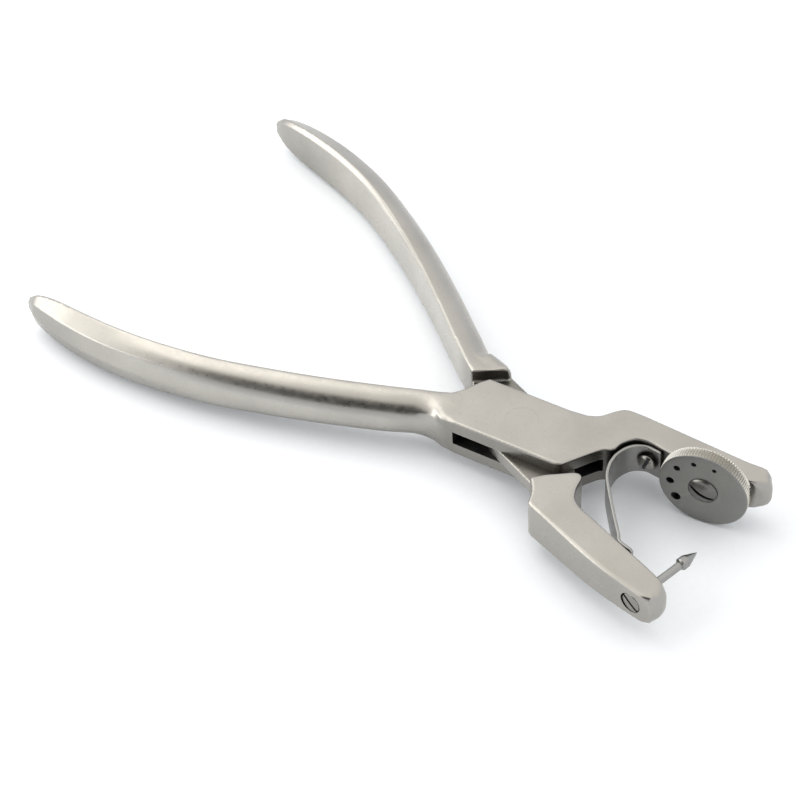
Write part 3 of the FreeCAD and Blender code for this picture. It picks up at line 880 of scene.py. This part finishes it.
def remap_smooth(tree, value, low, high, to_low, to_high):
    result = remap(tree, value, low, high, to_low, to_high)
    result.node.interpolation_type = "SMOOTHSTEP"
    return result


def noise(tree, place, scale, detail=2.0, roughness=0.5):
    made = node(tree, "ShaderNodeTexNoise", Vector=place, Scale=scale, Detail=detail,
                Roughness=roughness)
    return made.outputs["Fac"]


def new_material(name):
    """A material with its node tree, its shader and its object coordinates."""
    material = bpy.data.materials.new(name)
    material.use_nodes = True
    tree = material.node_tree
    place = node(tree, "ShaderNodeTexCoord").outputs["Object"]
    return material, tree, tree.nodes["Principled BSDF"], place


def shade_of(colour, factor):
    return [min(1, c * factor) for c in colour] + [1]


def steel_material(name, colour, roughness, grain=0.12, edge_wear_and_sheen=0.35, recess_shade_strength=0.55,
                   turned_about=None):
    """Satin steel: fine blasted grain, faint cloudiness, edges lightened for wear plus a painted
    highlight, and painted shade darkening recesses.

    The edge argument sets how strongly edges are lightened, for wear plus a painted highlight, and
    made smoother; the recess argument sets how far painted shade darkens recesses; and turned_about
    names a (point, axis) for lathe marks round that axis.
    """
    material, tree, shader, place = new_material(name)
    cloud = noise(tree, place, 90, 3)
    spots = noise(tree, place, 900, 4, 0.6)
    fine = noise(tree, place, 4200)
    edge = node(tree, "ShaderNodeNewGeometry").outputs["Pointiness"]
    open_sky = node(tree, "ShaderNodeAmbientOcclusion", Distance=RECESS_REACH).outputs["AO"]
    painted_shade_and_sheen_input = node(tree, "ShaderNodeAttribute")
    painted_shade_and_sheen_input.attribute_name = "painted_shade_and_sheen"

    clouded = remap(tree, cloud, *NOISE_RANGE, 0, 1)
    tone = blended(tree, clouded, shade_of(colour, 0.93), shade_of(colour, 1.06))
    speckle = remap(tree, fine, *NOISE_RANGE, 0.98, 1.02)
    tone = blended(tree, 1.0, tone, speckle, "MULTIPLY")
    # Painted highlight with wear: convex edges, found by pointiness, are lightened towards 1.35
    # times the colour.
    wear_and_sheen = remap(tree, edge, *CREST_RANGE, 0, 0.55 * edge_wear_and_sheen)
    tone = blended(tree, wear_and_sheen, tone, shade_of(colour, 1.35))
    # Painted shade: ambient occlusion darkens the colour in recesses and between parts, where shade
    # falls.
    recess_shade = remap(tree, open_sky, *RECESS_RANGE, 1 - recess_shade_strength, 1)
    # Painted shade and sheen: the stored attribute darkens or lightens the colour per vertex.
    painted_shading = remap(tree, painted_shade_and_sheen_input.outputs["Fac"], -1, 1, *SHADE_AND_SHEEN_FACTORS)
    tone = blended(tree, 1.0, tone, maths(tree, "MULTIPLY", recess_shade, painted_shading), "MULTIPLY")
    plug(tree, shader.inputs["Base Color"], tone)

    shader.inputs["Metallic"].default_value = 1.0
    uneven = remap(tree, spots, *NOISE_RANGE, roughness - 0.04, roughness + 0.05)
    smoother = remap(tree, edge, *CREST_RANGE, 0, -0.1 * edge_wear_and_sheen)
    plug(tree, shader.inputs["Roughness"], maths(tree, "ADD", uneven, smoother))

    height = fine
    if turned_about:
        height = lathe_marks(tree, place, fine, *turned_about)
    bump = node(tree, "ShaderNodeBump", Strength=grain, Distance=0.00003, Height=height)
    waves = node(tree, "ShaderNodeBump", Strength=0.25, Distance=0.0001,
                 Height=noise(tree, place, 160, 1), Normal=bump.outputs[0])
    plug(tree, shader.inputs["Normal"], waves.outputs[0])
    return material


def lathe_marks(tree, place, grain, point, axis):
    """Fine rings round an axis, mixed with the grain."""
    vector = "ShaderNodeVectorMath"
    offset = maths(tree, "SUBTRACT", place, point * MM, kind=vector, output="Vector")
    crossed = maths(tree, "CROSS_PRODUCT", offset, axis, kind=vector, output="Vector")
    radius = maths(tree, "LENGTH", crossed, kind=vector)
    spread = node(tree, "ShaderNodeCombineXYZ", X=radius)
    rings = noise(tree, spread.outputs[0], 9000)
    return maths(tree, "MULTIPLY_ADD", rings, 0.9, grain)


# ---- floor, light and camera --------------------------------------------------------

def floor_height(x):
    """The tool lies on the wheel's rim and on both handles, so the floor slopes."""
    return -1.6 - 0.0275 * (x + 88)


FLOOR_REACH = 1500
FLOOR_DROP = 0.02             # keeps the floor clear of the tool


def floor():
    vertices = []
    for a, b in ((-1, -1), (1, -1), (1, 1), (-1, 1)):
        x = a * FLOOR_REACH
        vertices.append((x, b * FLOOR_REACH, floor_height(x) - FLOOR_DROP))
    obj = new_object("floor", vertices, [[0, 1, 2, 3]])
    obj.data.transform(Matrix.Scale(MM, 4))
    material, tree, shader, place = new_material("paper")
    mottle = remap(tree, noise(tree, place, 700, 4), *NOISE_RANGE, 0, 1)
    tone = blended(tree, mottle, (0.86, 0.88, 0.905, 1), (0.875, 0.895, 0.92, 1))
    plug(tree, shader.inputs["Base Color"], tone)
    shader.inputs["Roughness"].default_value = 0.9
    shader.inputs["Specular IOR Level"].default_value = 0.1
    shader.inputs["Emission Color"].default_value = (0.95, 0.98, 1.0, 1)
    shader.inputs["Emission Strength"].default_value = 0.03
    obj.data.materials.clear()
    obj.data.materials.append(material)


TENT_LOW = 1.15               # the tent's strength near the floor and overhead
TENT_HIGH = 1.37
DARK_TOWARDS = (0.25, -0.6, 0.76)
DARK_DEPTH = 1.44             # how much the tent loses round the camera
COOL = (0.94, 0.975, 1.05, 1)
WARM = (1.0, 0.985, 0.95, 1)


def studio():
    """A light tent, darker low down and round the camera, with soft panels on the left."""
    world = bpy.data.worlds.new("studio")
    bpy.context.scene.world = world
    world.use_nodes = True
    tree = world.node_tree
    direction = node(tree, "ShaderNodeTexCoord").outputs["Generated"]
    rise = node(tree, "ShaderNodeSeparateXYZ", Vector=direction).outputs["Z"]
    tent = remap_smooth(tree, rise, 0.3, 0.72, TENT_LOW, TENT_HIGH)
    facing = maths(tree, "DOT_PRODUCT", direction, Vector(DARK_TOWARDS).normalized(),
                   kind="ShaderNodeVectorMath")
    front = remap_smooth(tree, facing, 0.86, 0.955, 0, -DARK_DEPTH)
    strength = maths(tree, "MAXIMUM", maths(tree, "ADD", tent, front), 0.0)
    background = tree.nodes["Background"]
    plug(tree, background.inputs["Strength"], strength)
    tint = blended(tree, remap(tree, rise, 0.0, 0.9, 0, 1), COOL, WARM)
    plug(tree, background.inputs["Color"], tint)
    panel(Vector((-0.57, 0.0, 0.82)), 0.47, 0.38, 0.24, 1.65)
    panel(Vector((-0.7, -0.6, 0.4)), 0.7, 0.6, 0.4, 2.5)


def panel(towards, distance, width, height, radiance):
    """A soft light panel that faces the tool from the given direction."""
    light = bpy.data.lights.new("panel", "AREA")
    light.shape = "RECTANGLE"
    light.size = width
    light.size_y = height
    light.energy = radiance * math.pi * width * height
    light.color = (1.0, 0.99, 0.955)
    obj = bpy.data.objects.new("panel", light)
    bpy.context.scene.collection.objects.link(obj)
    obj.location = towards.normalized() * distance
    obj.rotation_euler = towards.to_track_quat("Z", "Y").to_euler()


CAMERA_AT = Vector((0.2428, -0.2766, 0.4054))
CAMERA_AZIMUTH = 45.32
CAMERA_ELEVATION = 46.5
CAMERA_ROLL = -3.5
CAMERA_LENS = 112.5


def camera():
    a = math.radians(CAMERA_AZIMUTH)
    e = math.radians(CAMERA_ELEVATION)
    r = math.radians(CAMERA_ROLL)
    back = Vector((math.sin(a) * math.cos(e), -math.cos(a) * math.cos(e), math.sin(e)))
    level = Vector((math.cos(a), math.sin(a), 0))
    right = level * math.cos(r) + back.cross(level) * math.sin(r)
    up = back.cross(right)
    obj = bpy.data.objects.new("camera", bpy.data.cameras.new("camera"))
    bpy.context.scene.collection.objects.link(obj)
    obj.data.lens = CAMERA_LENS
    obj.data.sensor_width = 36
    rotation = Matrix((right, up, back)).transposed().to_4x4()
    obj.matrix_world = Matrix.Translation(CAMERA_AT) @ rotation
    bpy.context.scene.camera = obj


# ---- put together -------------------------------------------------------------------

forged = steel_material("forged_satin", (0.367, 0.350, 0.321), 0.30)
# Near-black steel on the cut faces of slots, holes and screw slots: partly dark oxide, partly
# painted shade where little light reaches.
oxide_and_shade_steel = steel_material("cut_oxide_and_shade", (0.08, 0.078, 0.076), 0.45, edge_wear_and_sheen=0, recess_shade_strength=0.3)
wheel_finish = steel_material("wheel_grey", (0.24, 0.237, 0.222), 0.40, 0.35, 0.4, 0.3,
                              (WHEEL_CENTRE, WHEEL_AXIS))
# Lighter rim steel: partly a painted reflection of the sky on the knurled crests.
rim_steel_and_sheen = steel_material("wheel_rim_and_sheen", (0.6, 0.583, 0.537), 0.25, 0.3, 0.4, 0.5)
screw_finish = steel_material("screw_turned", (0.155, 0.151, 0.141), 0.28, 0.3, 0)
small_screw = steel_material("screw_small", (0.27, 0.262, 0.24), 0.28, 0.3, 0)
spring_finish = steel_material("spring_strip", (0.285, 0.28, 0.265), 0.30, 0.3, 0)
pin_finish = steel_material("pin_ground", (0.30, 0.296, 0.283), 0.28, 0.3, 0)
rivet_finish = steel_material("rivet_satin", (0.367, 0.350, 0.321), 0.30, edge_wear_and_sheen=0)
hidden_finish = steel_material("bearing_steel", (0.35, 0.335, 0.31), 0.3, edge_wear_and_sheen=0)

box_forging(forged, oxide_and_shade_steel)
punch_forging(forged, oxide_and_shade_steel)
pivot_rivet(rivet_finish)
die_wheel(wheel_finish, oxide_and_shade_steel, rim_steel_and_sheen)
wheel_screw(screw_finish, oxide_and_shade_steel)
spring_screw(small_screw, oxide_and_shade_steel)
punch_set_screw(small_screw, oxide_and_shade_steel)
punch_pin(pin_finish)
leaf_spring(spring_finish, oxide_and_shade_steel)

for name in ("detent_ball", "detent_spring"):
    frame["nodes"][name].data.materials.clear()
    frame["nodes"][name].data.materials.append(hidden_finish)

floor()
studio()
camera()
bpy.context.scene.view_settings.view_transform = "Standard"
